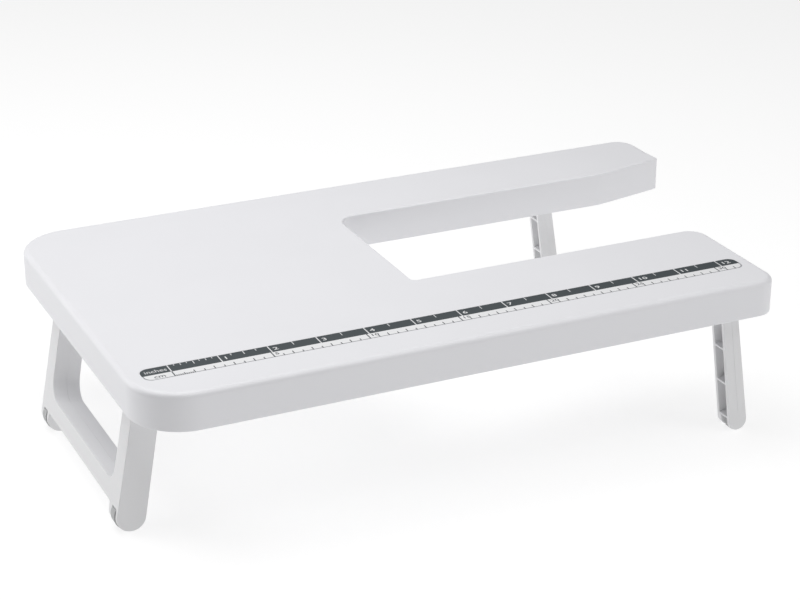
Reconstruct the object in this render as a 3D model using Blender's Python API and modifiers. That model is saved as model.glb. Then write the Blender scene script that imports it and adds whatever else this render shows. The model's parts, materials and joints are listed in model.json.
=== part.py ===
"""Extension table for a free-arm sewing machine, with folding legs.

A shallow moulded tray lies upside down as the work surface. A notch in its right side takes the
machine's free arm. One wide leg frame folds under the left end, and a single leg folds under each
of the two arms beside the notch. Each leg hangs on a pin in a bracket that two screws hold.

Plan sizes below run from the tabletop's left wall (x) and front wall (y), heights from the floor (z).
They are millimetres, and become metres where a mesh is made.
"""

import math

import bmesh
import bpy
from mathutils import Matrix, Vector

MM = 0.001

# Tabletop
TOP_LENGTH = 386.3
TOP_DEPTH = 225.9
WORK_HEIGHT = 87.0
SKIRT_HEIGHT = 19.5
WALL = 2.5
LEFT_CORNER_RADIUS = 28.0
FRONT_ARM_LENGTH = 346.0
ARM_CORNER_RADIUS = 11.0
REAR_ARM_TIP_RADIUS = 2.0
RIM_RADIUS = 1.5

# Notch for the free arm; past NOTCH_KINK its rear edge runs out at a slant
NOTCH_LEFT = 172.0
NOTCH_FRONT = 78.6
NOTCH_REAR = 176.8
NOTCH_REAR_RADIUS = 10.0
NOTCH_FRONT_RADIUS = 3.0
NOTCH_KINK = 341.0
NOTCH_SLANT = 9.8

# Ribs under the top, which leave bays for the folded legs
RIB_HEIGHT = 8.0
RIB_THICKNESS = 1.6
LEFT_RIBS_X = (98.0, 134.0)
ARM_RIBS_X = (203.0, 234.0)
CELL_RIBS_X = (265.0, 296.0, 327.0)
FRONT_RIB_Y = 42.0
REAR_RIB_Y = 194.0
MIDDLE_RIB_Y = 113.0

# Scale label in a shallow recess
LABEL_X = (8.3, 338.3)
LABEL_Y = (21.2, 34.2)
LABEL_RADIUS = 4.5
LABEL_THICKNESS = 0.2
LABEL_RECESS = 0.32
LABEL_GAP = 0.12

# Hinges
HINGE_DROP = 10.9
PIN_RADIUS = 2.0
PIN_GAP = 0.3
CHEEK_GAP = 0.4
STOP_WALL = 2.0
STOP_GAP = 0.3
FLANGE_TOP_DROP = 9.3
FLANGE_THICKNESS = 2.0
BOSS_RADIUS = 3.4
BOSS_GAP = 0.3
SCREW_RADIUS = 1.4
SCREW_LENGTH = 7.4
SCREW_HEAD_RADIUS = 2.8
SCREW_HEAD_HEIGHT = 2.0

# Feet
PAD_PROUD = 0.3
PAD_FLAT = 0.2
PAD_SIDE_GAP = 0.3
PAD_LEAN = math.radians(32)

# Left leg frame: span across both legs, from its front face
LEFT_LEG = {
    "hinge_x": 15.0,
    "splay": math.radians(10.33),
    "outer": -1,
    "front": 37.9,
    "width": 12.7,
    "span": 130.8,
    "hinge_radius": 6.8,
    "foot_radius": 7.55,
    "cheek": 2.2,
    "web": 2.4,
    "cells": ((9.5, 26.3), (27.7, 45.0), (46.4, 63.9)),
    "slot_top": 66.2,
    "slot": (2.5, 8.7),
    "stud_radius": 1.5,
}
WINDOW_DEPTH = 55.6
WINDOW_FRONT_RADIUS = 7.0
WINDOW_REAR_RADIUS = 11.0
CROSSBAR_BOTTOM = 66.1
CROSSBAR_CELLS = 5

# One right leg
RIGHT_LEG = {
    "hinge_x": 319.0,
    "splay": math.radians(8.43),
    "outer": 1,
    "front": 5.2,
    "width": 11.5,
    "span": 11.5,
    "hinge_radius": 4.55,
    "foot_radius": 5.45,
    "cheek": 2.0,
    "web": 2.2,
    "cells": ((7.0, 26.3), (27.5, 47.1), (48.3, 67.7)),
    "slot_top": 68.9,
    "slot": (2.2, 8.0),
    "stud_radius": 1.2,
}


def leg_length(leg):
    """Hinge axis to the centre of the foot's round, along the leg."""
    drop = WORK_HEIGHT - HINGE_DROP - leg["foot_radius"] - PAD_PROUD
    return drop / math.cos(leg["splay"])


def left_foot_reach():
    """How far the pads of the left feet stand out past the tabletop's left wall."""
    foot = LEFT_LEG["foot_radius"] + PAD_PROUD + PAD_FLAT
    return leg_length(LEFT_LEG) * math.sin(LEFT_LEG["splay"]) + foot - LEFT_LEG["hinge_x"]


ORIGIN_X = (TOP_LENGTH - left_foot_reach()) / 2
ORIGIN_Y = TOP_DEPTH / 2


def spot(x, y, z):
    """A place in the table's own frame, in metres."""
    return Vector((x - ORIGIN_X, y - ORIGIN_Y, z)) * MM


def plastic(name, colour, roughness, metallic=0.0):
    material = bpy.data.materials.new(name)
    material.use_nodes = True
    shader = material.node_tree.nodes["Principled BSDF"]
    shader.inputs["Base Color"].default_value = (*colour, 1.0)
    shader.inputs["Roughness"].default_value = roughness
    shader.inputs["Metallic"].default_value = metallic
    return material


def new_collection(name, parent):
    collection = bpy.data.collections.new(name)
    parent.children.link(collection)
    return collection


def arc(centre_x, centre_y, radius, start, end, steps):
    """Points on an arc between two angles in degrees."""
    points = []
    for step in range(steps + 1):
        angle = math.radians(start + (end - start) * step / steps)
        points.append((centre_x + radius * math.cos(angle), centre_y + radius * math.sin(angle)))
    return points


def turn(before, corner, after):
    """Signed sine of the turn at a corner, positive to the left."""
    ax, ay = corner[0] - before[0], corner[1] - before[1]
    bx, by = after[0] - corner[0], after[1] - corner[1]
    return (ax * by - ay * bx) / (math.hypot(ax, ay) * math.hypot(bx, by))


def rounded(corners, steps):
    """Outline of an anticlockwise polygon whose corners (x, y, radius) are rounded."""
    points = []
    count = len(corners)
    for index, (x, y, radius) in enumerate(corners):
        corner = Vector((x, y))
        back = (Vector(corners[index - 1][:2]) - corner).normalized()
        ahead = (Vector(corners[(index + 1) % count][:2]) - corner).normalized()
        if radius == 0:
            points.append((x, y))
            continue
        half = back.angle(ahead) / 2
        centre = corner + (back + ahead).normalized() * radius / math.sin(half)
        start = corner + back * radius / math.tan(half) - centre
        end = corner + ahead * radius / math.tan(half) - centre
        sweep = start.angle_signed(end)
        for step in range(steps + 1):
            spoke = start.copy()
            spoke.rotate(Matrix.Rotation(-sweep * step / steps, 2))
            points.append(tuple(centre + spoke))
    return points


def inset(corners, distance):
    """The same corners with every edge moved inwards and the radii kept concentric."""
    moved = []
    count = len(corners)
    for index, (x, y, radius) in enumerate(corners):
        corner = Vector((x, y))
        before = Vector(corners[index - 1][:2])
        after = Vector(corners[(index + 1) % count][:2])
        into = (corner - before).normalized()
        out = (after - corner).normalized()
        left_of_into = Vector((-into.y, into.x))
        left_of_out = Vector((-out.y, out.x))
        bisector = (left_of_into + left_of_out).normalized()
        shift = distance / bisector.dot(left_of_into)
        place = corner + bisector * shift
        convex = turn(before, corner, after) > 0
        new_radius = radius - distance if convex else radius + distance
        moved.append((place.x, place.y, max(new_radius, 0) if radius else 0))
    return moved


def tabletop_corners():
    """The plan of the tabletop, anticlockwise from its front-left corner."""
    return [
        (0, 0, LEFT_CORNER_RADIUS),
        (FRONT_ARM_LENGTH, 0, ARM_CORNER_RADIUS),
        (FRONT_ARM_LENGTH, NOTCH_FRONT, ARM_CORNER_RADIUS),
        (NOTCH_LEFT, NOTCH_FRONT, NOTCH_FRONT_RADIUS),
        (NOTCH_LEFT, NOTCH_REAR, NOTCH_REAR_RADIUS),
        (NOTCH_KINK, NOTCH_REAR, 20.0),
        (TOP_LENGTH, NOTCH_REAR + NOTCH_SLANT, REAR_ARM_TIP_RADIUS),
        (TOP_LENGTH, TOP_DEPTH, ARM_CORNER_RADIUS),
        (0, TOP_DEPTH, LEFT_CORNER_RADIUS),
    ]


def tidy(mesh):
    """Welds a mesh, drops the edges inside flat faces and turns its faces outwards."""
    shape = bmesh.new()
    shape.from_mesh(mesh)
    bmesh.ops.remove_doubles(shape, verts=shape.verts, dist=1e-7)
    bmesh.ops.recalc_face_normals(shape, faces=shape.faces)
    shape.normal_update()
    bmesh.ops.dissolve_limit(
        shape, angle_limit=math.radians(0.5), verts=shape.verts, edges=shape.edges,
        use_dissolve_boundaries=False, delimit={"NORMAL"},
    )
    shape.to_mesh(mesh)
    shape.free()


def prism(name, outline, low, high, axis, collection):
    """A flat outline extruded from low to high along an axis; the outline is in the other two axes."""
    curve = bpy.data.curves.new(name, "CURVE")
    curve.dimensions = "2D"
    curve.fill_mode = "BOTH"
    curve.extrude = (high - low) / 2 * MM
    spline = curve.splines.new("POLY")
    spline.points.add(len(outline) - 1)
    for point, (first, second) in zip(spline.points, outline):
        point.co = (first * MM, second * MM, 0, 1)
    spline.use_cyclic_u = True
    guide = bpy.data.objects.new(name + "_outline", curve)
    mesh = bpy.data.meshes.new_from_object(guide)
    bpy.data.objects.remove(guide)
    to_axis = {
        "Z": Matrix(((1, 0, 0), (0, 1, 0), (0, 0, 1))),
        "Y": Matrix(((1, 0, 0), (0, 0, 1), (0, 1, 0))),
        "X": Matrix(((0, 0, 1), (1, 0, 0), (0, 1, 0))),
    }[axis]
    lift = Vector((0, 0, (low + high) / 2 * MM))
    mesh.transform(to_axis.to_4x4() @ Matrix.Translation(lift))
    tidy(mesh)
    made = bpy.data.objects.new(name, mesh)
    collection.objects.link(made)
    return made


def box(name, low, high, collection):
    """A box between two corners in millimetres, with its own origin at the frame's origin."""
    shape = bmesh.new()
    bmesh.ops.create_cube(shape, size=1)
    low = Vector(low) * MM
    high = Vector(high) * MM
    stretch = Matrix.Diagonal((*(high - low), 1))
    shape.transform(Matrix.Translation((low + high) / 2) @ stretch)
    mesh = bpy.data.meshes.new(name)
    shape.to_mesh(mesh)
    shape.free()
    made = bpy.data.objects.new(name, mesh)
    collection.objects.link(made)
    return made


def rod(name, radius, low, high, axis, centre, collection, sides=20):
    """A cylinder along Y or Z from low to high, centred on a point of the other two axes."""
    shape = bmesh.new()
    bmesh.ops.create_cone(
        shape, cap_ends=True, segments=sides, radius1=radius * MM, radius2=radius * MM,
        depth=(high - low) * MM,
    )
    middle = (low + high) / 2
    if axis == "Y":
        shape.transform(Matrix.Rotation(math.pi / 2, 4, "X"))
        place = (centre[0], middle, centre[1])
    else:
        place = (centre[0], centre[1], middle)
    shape.transform(Matrix.Translation(Vector(place) * MM))
    mesh = bpy.data.meshes.new(name)
    shape.to_mesh(mesh)
    shape.free()
    made = bpy.data.objects.new(name, mesh)
    collection.objects.link(made)
    return made


def shade(obj, material):
    obj.data.materials.clear()
    obj.data.materials.append(material)
    obj.data.shade_smooth()
    obj.data.set_sharp_from_angle(angle=math.radians(35))


def hide_helpers(collection):
    for obj in collection.objects:
        obj.hide_render = True
        obj.display_type = "WIRE"


def combine(obj, operation, helpers):
    """Joins or cuts with every helper in a collection."""
    modifier = obj.modifiers.new(helpers.name, "BOOLEAN")
    modifier.operation = operation
    modifier.operand_type = "COLLECTION"
    modifier.collection = helpers
    modifier.solver = "EXACT"
    hide_helpers(helpers)


def move_to(place, *objects):
    for obj in objects:
        obj.location = place


def round_rim(obj, height, radius):
    """Rounds the edge where the walls meet the flat face at this height."""
    shape = bmesh.new()
    shape.from_mesh(obj.data)
    level = height * MM
    rim = []
    for edge in shape.edges:
        if all(abs(vertex.co.z - level) < 1e-6 for vertex in edge.verts):
            rim.append(edge)
    bmesh.ops.bevel(
        shape, geom=rim, offset=radius * MM, offset_type="OFFSET", segments=2, profile=0.5,
        affect="EDGES", clamp_overlap=False,
    )
    shape.to_mesh(obj.data)
    shape.free()


def screw_places():
    """Plan positions of the eight bracket screws, two for each bracket."""
    left_x = LEFT_LEG["hinge_x"]
    first = LEFT_LEG["front"]
    last = first + LEFT_LEG["span"]
    width = LEFT_LEG["width"]
    right_x = RIGHT_LEG["hinge_x"]
    right_y = RIGHT_LEG["front"] + RIGHT_LEG["width"] + 6.3
    return [
        (left_x, first - 6.7),
        (left_x, first + width + 6.7),
        (left_x, last - width - 6.7),
        (left_x, last + 6.7),
        (right_x - 5.2, right_y),
        (right_x + 5.2, right_y),
        (right_x - 5.2, TOP_DEPTH - right_y),
        (right_x + 5.2, TOP_DEPTH - right_y),
    ]


def add_tabletop(parts, helpers, material):
    corners = tabletop_corners()
    bottom = WORK_HEIGHT - SKIRT_HEIGHT
    ceiling = WORK_HEIGHT - WALL
    home = spot(0, 0, 0)
    top = prism("tabletop", rounded(corners, 8), bottom, WORK_HEIGHT, "Z", parts)
    round_rim(top, WORK_HEIGHT, RIM_RADIUS)
    hollows = new_collection("tray_hollow", helpers)
    hollow = prism("hollow", rounded(inset(corners, WALL), 8), bottom - 5, ceiling, "Z", hollows)

    ribs = new_collection("tray_ribs", helpers)
    rib_bottom = ceiling - RIB_HEIGHT
    into_top = ceiling + 1
    half = RIB_THICKNESS / 2
    front_wall, rear_wall = WALL - 1, TOP_DEPTH - WALL + 1
    runs = []
    for x in LEFT_RIBS_X:
        runs.append(((x - half, front_wall), (x + half, rear_wall)))
    for x in ARM_RIBS_X:
        runs.append(((x - half, front_wall), (x + half, NOTCH_FRONT - 1)))
        runs.append(((x - half, NOTCH_REAR + 1), (x + half, rear_wall)))
    for x in CELL_RIBS_X:
        runs.append(((x - half, FRONT_RIB_Y), (x + half, NOTCH_FRONT - 1)))
        runs.append(((x - half, NOTCH_REAR + 1), (x + half, REAR_RIB_Y)))
    first_x = LEFT_RIBS_X[0]
    runs.append(((first_x, FRONT_RIB_Y - half), (FRONT_ARM_LENGTH - 1, FRONT_RIB_Y + half)))
    runs.append(((first_x, REAR_RIB_Y - half), (TOP_LENGTH - 1, REAR_RIB_Y + half)))
    runs.append(((first_x, MIDDLE_RIB_Y - half), (NOTCH_LEFT - 1, MIDDLE_RIB_Y + half)))
    pieces = [hollow]
    for number, (low, high) in enumerate(runs):
        pieces.append(box(f"rib_{number}", (*low, rib_bottom), (*high, into_top), ribs))
    boss_bottom = WORK_HEIGHT - FLANGE_TOP_DROP + BOSS_GAP
    for number, place in enumerate(screw_places()):
        name = f"boss_{number}"
        pieces.append(rod(name, BOSS_RADIUS, boss_bottom, into_top, "Z", place, ribs, 24))

    cuts = new_collection("tray_cuts", helpers)
    hole_top = WORK_HEIGHT - FLANGE_TOP_DROP - FLANGE_THICKNESS + SCREW_LENGTH + BOSS_GAP
    for number, place in enumerate(screw_places()):
        name = f"pilot_{number}"
        radius = SCREW_RADIUS + BOSS_GAP
        pieces.append(rod(name, radius, boss_bottom - 1, hole_top, "Z", place, cuts, 16))
    recess = rounded(inset(label_corners(), -LABEL_GAP), 6)
    floor = WORK_HEIGHT - LABEL_RECESS
    pieces.append(prism("label_recess", recess, floor, WORK_HEIGHT + 1, "Z", cuts))

    move_to(home, top, *pieces)
    combine(top, "DIFFERENCE", hollows)
    combine(top, "UNION", ribs)
    combine(top, "DIFFERENCE", cuts)
    shade(top, material)


def label_corners():
    (left, right), (front, rear) = LABEL_X, LABEL_Y
    radius = LABEL_RADIUS
    return [(left, front, radius), (right, front, radius), (right, rear, radius), (left, rear, radius)]


def add_label(parts, material):
    low = WORK_HEIGHT - LABEL_RECESS + LABEL_GAP
    outline = rounded(label_corners(), 6)
    label = prism("scale_label", outline, low, low + LABEL_THICKNESS, "Z", parts)
    move_to(spot(0, 0, 0), label)
    shade(label, material)


def leg_profile(leg):
    """Side view of a leg: round at the hinge, tapered, round at the foot."""
    eye = arc(0, 0, leg["hinge_radius"], 0, 180, 14)
    foot = arc(0, -leg_length(leg), leg["foot_radius"], 180, 360, 18)
    return eye + foot


def cell_boxes(leg, side_y):
    """Boxes (low, high) of the hollow cells in one leg, open on its inner side."""
    outer = leg["outer"]
    floor_x = outer * (leg["hinge_radius"] - leg["web"])
    open_x = -outer * 20
    low_y = side_y + leg["cheek"]
    high_y = side_y + leg["width"] - leg["cheek"]
    low_x, high_x = sorted((floor_x, open_x))
    return [((low_x, low_y, -far), (high_x, high_y, -near)) for near, far in leg["cells"]]


def foot_cuts(name, leg, side_y, cuts):
    """The slot between the foot's cheeks, and the hole for the pad's stud."""
    low_y, high_y = (side_y + edge for edge in leg["slot"])
    slot = box(name + "_slot", (-20, low_y, -120), (20, high_y, -leg["slot_top"]), cuts)
    stud = rod(
        name + "_stud_hole", leg["stud_radius"] + PAD_SIDE_GAP, -leg["slot_top"] - 1,
        -leg["cells"][-1][1] + 1, "Z", (0, (low_y + high_y) / 2), cuts, 16,
    )
    return [slot, stud]


def finish_leg(obj, leg, middle_y, cuts, pieces, material):
    """Cuts a leg, then hangs it on its hinge axis at its splay."""
    for piece in pieces:
        piece.parent = obj
    combine(obj, "DIFFERENCE", cuts)
    obj.location = spot(leg["hinge_x"], middle_y, WORK_HEIGHT - HINGE_DROP)
    obj.rotation_euler.y = -leg["outer"] * leg["splay"]
    shade(obj, material)


def add_left_frame(parts, helpers, material):
    leg = LEFT_LEG
    half = leg["span"] / 2
    gap = half - leg["width"]
    frame = prism("left_leg_frame", leg_profile(leg), -half, half, "Y", parts)
    cuts = new_collection("left_frame_cuts", helpers)
    window = [
        (-gap, -WINDOW_DEPTH, WINDOW_FRONT_RADIUS),
        (gap, -WINDOW_DEPTH, WINDOW_REAR_RADIUS),
        (gap, 20, 0),
        (-gap, 20, 0),
    ]
    under = [
        (-gap, -120, 0),
        (gap, -120, 0),
        (gap, -CROSSBAR_BOTTOM, 1.5),
        (-gap, -CROSSBAR_BOTTOM, 1.5),
    ]
    pieces = [
        prism("frame_window", rounded(window, 8), -20, 20, "X", cuts),
        prism("under_crossbar", rounded(under, 3), -20, 20, "X", cuts),
        rod("left_eye", PIN_RADIUS + PIN_GAP, -half - 1, half + 1, "Y", (0, 0), cuts),
    ]
    for end, side_y in (("front", -half), ("rear", gap)):
        for number, (low, high) in enumerate(cell_boxes(leg, side_y)):
            pieces.append(box(f"{end}_cell_{number}", low, high, cuts))
        pieces += foot_cuts(end, leg, side_y, cuts)
    wall = leg["cheek"]
    floor_x = leg["outer"] * (leg["hinge_radius"] - leg["web"])
    reach = gap - wall
    step = 2 * reach / CROSSBAR_CELLS
    for number in range(CROSSBAR_CELLS):
        low = (floor_x, -reach + step * number + 0.6, -CROSSBAR_BOTTOM + wall)
        high = (20, -reach + step * (number + 1) - 0.6, -WINDOW_DEPTH - wall)
        pieces.append(box(f"crossbar_cell_{number}", low, high, cuts))
    finish_leg(frame, leg, leg["front"] + half, cuts, pieces, material)
    return frame


def add_right_leg(name, front_y, parts, helpers, material):
    leg = RIGHT_LEG
    half = leg["width"] / 2
    made = prism(name, leg_profile(leg), -half, half, "Y", parts)
    cuts = new_collection(name + "_cuts", helpers)
    pieces = [rod(name + "_eye", PIN_RADIUS + PIN_GAP, -half - 1, half + 1, "Y", (0, 0), cuts)]
    for number, (low, high) in enumerate(cell_boxes(leg, -half)):
        pieces.append(box(f"{name}_cell_{number}", low, high, cuts))
    pieces += foot_cuts(name, leg, -half, cuts)
    finish_leg(made, leg, front_y + half, cuts, pieces, material)
    return made


def add_pad(name, leg, owner, side_y, parts, helpers, material):
    """A soft pad between the foot's cheeks; it stands proud of them and is cut flat at the floor."""
    outer = leg["outer"]
    length = leg_length(leg)
    radius = leg["foot_radius"] + PAD_PROUD + PAD_FLAT
    top = -leg["slot_top"] - PAD_SIDE_GAP
    lean = math.degrees(PAD_LEAN)
    face_x = leg["foot_radius"] - 0.1
    curve = arc(0, -length, radius, -lean - 90, -12, 16)
    side = [(face_x, top), *curve[::-1], (curve[0][0], top)]
    outline = [(outer * x, z) for x, z in side]
    low_y, high_y = (side_y + edge for edge in leg["slot"])
    low_y += PAD_SIDE_GAP
    high_y -= PAD_SIDE_GAP
    pad = prism(name, outline, low_y, high_y, "Y", parts)
    joins = new_collection(name + "_stud", helpers)
    closing = -leg["cells"][-1][1]
    place = (0, (low_y + high_y) / 2)
    shank = rod(name + "_shank", leg["stud_radius"], top - 1, closing + 1.6, "Z", place, joins, 16)
    barb = rod(name + "_barb", leg["stud_radius"] + 0.7, closing + 0.3, closing + 1.3, "Z", place, joins, 16)
    floor = new_collection(name + "_floor", helpers)
    box(name + "_ground", (-400, -400, -20), (400, 400, 0), floor)
    for piece in (pad, shank, barb):
        piece.parent = owner
    combine(pad, "UNION", joins)
    combine(pad, "DIFFERENCE", floor)
    shade(pad, material)


def bracket_body(name, leg, front_y, cheek, flanges, parts, helpers, material):
    """Two cheeks round a leg's eye, a stop wall behind it, and flanges for the screws.

    front_y is the leg's front face. Each flange is (low x, high x, low y, high y), from the hinge
    axis in x and from the leg's front face in y.
    """
    outer = leg["outer"]
    eye = leg["hinge_radius"]
    width = leg["width"]
    near = -CHEEK_GAP - cheek
    far = width + CHEEK_GAP
    high = HINGE_DROP - WALL - 0.4
    low = -6.8
    reach = eye + STOP_GAP + STOP_WALL
    low_x, high_x = sorted((outer * reach, -outer * (eye - 0.5)))
    bracket = box(name, (low_x, near, low), (high_x, near + cheek, high), parts)
    joins = new_collection(name + "_joins", helpers)
    cuts = new_collection(name + "_cuts", helpers)
    box(name + "_cheek", (low_x, far, low), (high_x, far + cheek, high), joins)
    stop_low, stop_high = sorted((outer * (eye + STOP_GAP), outer * reach))
    stop = box(name + "_stop", (stop_low, near + 0.5, low), (stop_high, far + cheek - 0.5, 3), joins)
    stop.data.transform(Matrix.Rotation(-outer * leg["splay"], 4, "Y"))
    flange_top = HINGE_DROP - FLANGE_TOP_DROP
    flange_low = flange_top - FLANGE_THICKNESS
    for number, (left, right, front, rear) in enumerate(flanges):
        name_of = f"{name}_flange_{number}"
        box(name_of, (left, front, flange_low), (right, rear, flange_top), joins)
    rod(name + "_pin_hole", PIN_RADIUS + PIN_GAP, near - 1, far + cheek + 1, "Y", (0, 0), cuts)
    hinge = spot(leg["hinge_x"], front_y, WORK_HEIGHT - HINGE_DROP)
    for number, (x, y) in enumerate(screw_places()):
        local = (x - leg["hinge_x"], y - front_y)
        if abs(local[0]) < 20 and abs(local[1]) < 40:
            name_of = f"{name}_hole_{number}"
            rod(name_of, SCREW_RADIUS + BOSS_GAP, flange_low - 1, flange_top + 1, "Z", local, cuts, 16)
    move_to(hinge, bracket, *joins.objects, *cuts.objects)
    combine(bracket, "UNION", joins)
    combine(bracket, "DIFFERENCE", cuts)
    shade(bracket, material)


def add_pin(name, leg, front_y, cheek, parts, material):
    low = -CHEEK_GAP - cheek
    high = leg["width"] + CHEEK_GAP + cheek
    pin = rod(name, PIN_RADIUS, low, high, "Y", (0, 0), parts)
    bevel = pin.modifiers.new("chamfer", "BEVEL")
    bevel.width = 0.3 * MM
    bevel.segments = 1
    bevel.limit_method = "ANGLE"
    bevel.angle_limit = math.radians(60)
    move_to(spot(leg["hinge_x"], front_y, WORK_HEIGHT - HINGE_DROP), pin)
    shade(pin, material)


def add_screw(name, place, parts, material):
    """A pan-head screw turned from half its outline, head down."""
    head_z = 0.1
    bottom = -head_z - SCREW_HEAD_HEIGHT
    profile = [
        (0, SCREW_LENGTH - 0.4), (SCREW_RADIUS - 0.5, SCREW_LENGTH - 0.4),
        (SCREW_RADIUS, SCREW_LENGTH - 1.6), (SCREW_RADIUS, -head_z), (SCREW_HEAD_RADIUS, -head_z),
        (SCREW_HEAD_RADIUS, -head_z - 1.0), (SCREW_HEAD_RADIUS - 0.8, bottom), (0, bottom),
    ]
    shape = bmesh.new()
    vertices = [shape.verts.new((x * MM, 0, z * MM)) for x, z in profile]
    for first, second in zip(vertices, vertices[1:]):
        shape.edges.new((first, second))
    mesh = bpy.data.meshes.new(name)
    shape.to_mesh(mesh)
    shape.free()
    screw = bpy.data.objects.new(name, mesh)
    parts.objects.link(screw)
    spin = screw.modifiers.new("turn", "SCREW")
    spin.axis = "Z"
    spin.steps = 16
    spin.render_steps = 16
    spin.use_merge_vertices = True
    spin.merge_threshold = 1e-6
    spin.use_normal_calculate = True
    x, y = place
    move_to(spot(x, y, WORK_HEIGHT - FLANGE_TOP_DROP - FLANGE_THICKNESS), screw)
    shade(screw, material)


def main():
    for obj in list(bpy.data.objects):
        bpy.data.objects.remove(obj)
    scene = bpy.context.scene.collection
    parts = new_collection("sewing_extension_table", scene)
    helpers = new_collection("cutters", scene)

    add_tabletop(parts, helpers, plastic("top_plastic", (0.80, 0.80, 0.82), 0.42))
    add_label(parts, plastic("label_film", (0.11, 0.12, 0.13), 0.45))

    frame = add_left_frame(parts, helpers, plastic("left_frame_plastic", (0.77, 0.77, 0.79), 0.45))
    front_y = RIGHT_LEG["front"]
    rear_y = TOP_DEPTH - front_y - RIGHT_LEG["width"]
    right_front = add_right_leg(
        "right_front_leg", front_y, parts, helpers, plastic("right_front_plastic", (0.77, 0.77, 0.79), 0.45)
    )
    right_rear = add_right_leg(
        "right_rear_leg", rear_y, parts, helpers, plastic("right_rear_plastic", (0.77, 0.77, 0.79), 0.45)
    )

    half_span = LEFT_LEG["span"] / 2
    half_leg = RIGHT_LEG["width"] / 2
    feet = {
        "left_front": (LEFT_LEG, frame, -half_span),
        "left_rear": (LEFT_LEG, frame, half_span - LEFT_LEG["width"]),
        "right_front": (RIGHT_LEG, right_front, -half_leg),
        "right_rear": (RIGHT_LEG, right_rear, -half_leg),
    }
    for corner, (leg, owner, side_y) in feet.items():
        rubber = plastic(f"pad_{corner}", (0.40, 0.41, 0.41), 0.8)
        add_pad(f"foot_pad_{corner}", leg, owner, side_y, parts, helpers, rubber)

    left_front_y = LEFT_LEG["front"]
    left_rear_y = left_front_y + LEFT_LEG["span"] - LEFT_LEG["width"]
    width = LEFT_LEG["width"]
    left_flanges = [(-5, 5, -11.5, -1.5), (-5, 5, width + 1.5, width + 11.5)]
    inner = RIGHT_LEG["width"]
    hinges = {
        "left_front": (LEFT_LEG, left_front_y, 2.0, left_flanges),
        "left_rear": (LEFT_LEG, left_rear_y, 2.0, left_flanges),
        "right_front": (RIGHT_LEG, front_y, 1.6, [(-9.5, 9.5, inner + 1.2, inner + 10.6)]),
        "right_rear": (RIGHT_LEG, rear_y, 1.6, [(-9.5, 9.5, -10.6, -1.2)]),
    }
    for corner, (leg, leg_front, cheek, flanges) in hinges.items():
        moulded = plastic(f"bracket_{corner}", (0.70, 0.70, 0.72), 0.5)
        steel = plastic(f"pin_{corner}", (0.62, 0.62, 0.63), 0.3, 1.0)
        name = f"hinge_bracket_{corner}"
        bracket_body(name, leg, leg_front, cheek, flanges, parts, helpers, moulded)
        add_pin(f"hinge_pin_{corner}", leg, leg_front, cheek, parts, steel)

    for number, place in enumerate(screw_places(), start=1):
        zinc = plastic(f"screw_{number}", (0.60, 0.60, 0.60), 0.35, 1.0)
        add_screw(f"hinge_screw_{number}", place, parts, zinc)


main()
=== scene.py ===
"""Looks of a folding-leg extension table for a free-arm sewing machine.

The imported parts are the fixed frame. Plan sizes are millimetres from the tabletop's left wall (x)
and front wall (y), heights are millimetres from the floor (z). Each leg is shaped upright round its
hinge axis and then hung at its place.
"""

import json
import math

import bmesh
import bpy
from mathutils import Matrix, Vector


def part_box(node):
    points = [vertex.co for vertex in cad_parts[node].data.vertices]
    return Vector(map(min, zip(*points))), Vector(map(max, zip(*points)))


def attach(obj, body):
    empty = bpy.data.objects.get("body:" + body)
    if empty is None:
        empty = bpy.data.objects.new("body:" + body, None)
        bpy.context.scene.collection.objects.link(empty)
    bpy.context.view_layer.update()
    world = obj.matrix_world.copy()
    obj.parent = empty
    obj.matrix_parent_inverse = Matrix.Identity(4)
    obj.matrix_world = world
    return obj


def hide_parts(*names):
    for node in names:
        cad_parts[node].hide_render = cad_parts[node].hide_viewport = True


MM = 0.001
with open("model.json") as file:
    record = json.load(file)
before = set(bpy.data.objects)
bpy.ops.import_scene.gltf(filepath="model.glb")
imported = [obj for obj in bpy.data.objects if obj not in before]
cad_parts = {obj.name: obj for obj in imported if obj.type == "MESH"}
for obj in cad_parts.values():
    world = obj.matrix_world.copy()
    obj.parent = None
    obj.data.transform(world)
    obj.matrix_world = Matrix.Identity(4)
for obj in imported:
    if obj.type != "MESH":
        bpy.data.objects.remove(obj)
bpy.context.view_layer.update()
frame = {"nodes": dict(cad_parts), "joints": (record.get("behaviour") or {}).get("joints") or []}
nodes = frame["nodes"]

tabletop_low, tabletop_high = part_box("tabletop")
HOME = Vector((tabletop_low.x, tabletop_low.y, 0))
LENGTH = (tabletop_high.x - tabletop_low.x) / MM
DEPTH = (tabletop_high.y - tabletop_low.y) / MM
TOP = tabletop_high.z / MM
SKIRT_BOTTOM = tabletop_low.z / MM

WALL = 2.5
CEILING = TOP - WALL
FRONT_ARM = 346.0
NOTCH_X = 172.0
NOTCH_Y = (78.6, 176.8)
KINK_X = 341.0
KINK_SLOPE = 9.8 / 45.3
TIP_Y = NOTCH_Y[1] + 9.8
LEFT_CORNER = 28.0
ARM_CORNER = 11.0
RIM = 3.0
NOTCH_RIM = 1.0
RIM_STEPS_Y = (193.0, 199.0)
BEYOND = 420

RIB_DEPTH = 8
RIB_HALF = 0.8
RIB_BITE = 0.8
WIDE_RIBS_X = (98.0, 134.0)
ARM_RIBS_X = (203.0, 234.0)
CELL_RIBS_X = (265.0, 296.0, 327.0)
FRONT_RIB_Y = 42.0
MIDDLE_RIB_Y = 113.0
REAR_RIB_Y = 194.0

CORNERS = ("left_front", "left_rear", "right_front", "right_rear")
JOINTS = {joint["name"]: joint for joint in frame["joints"]}

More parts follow.
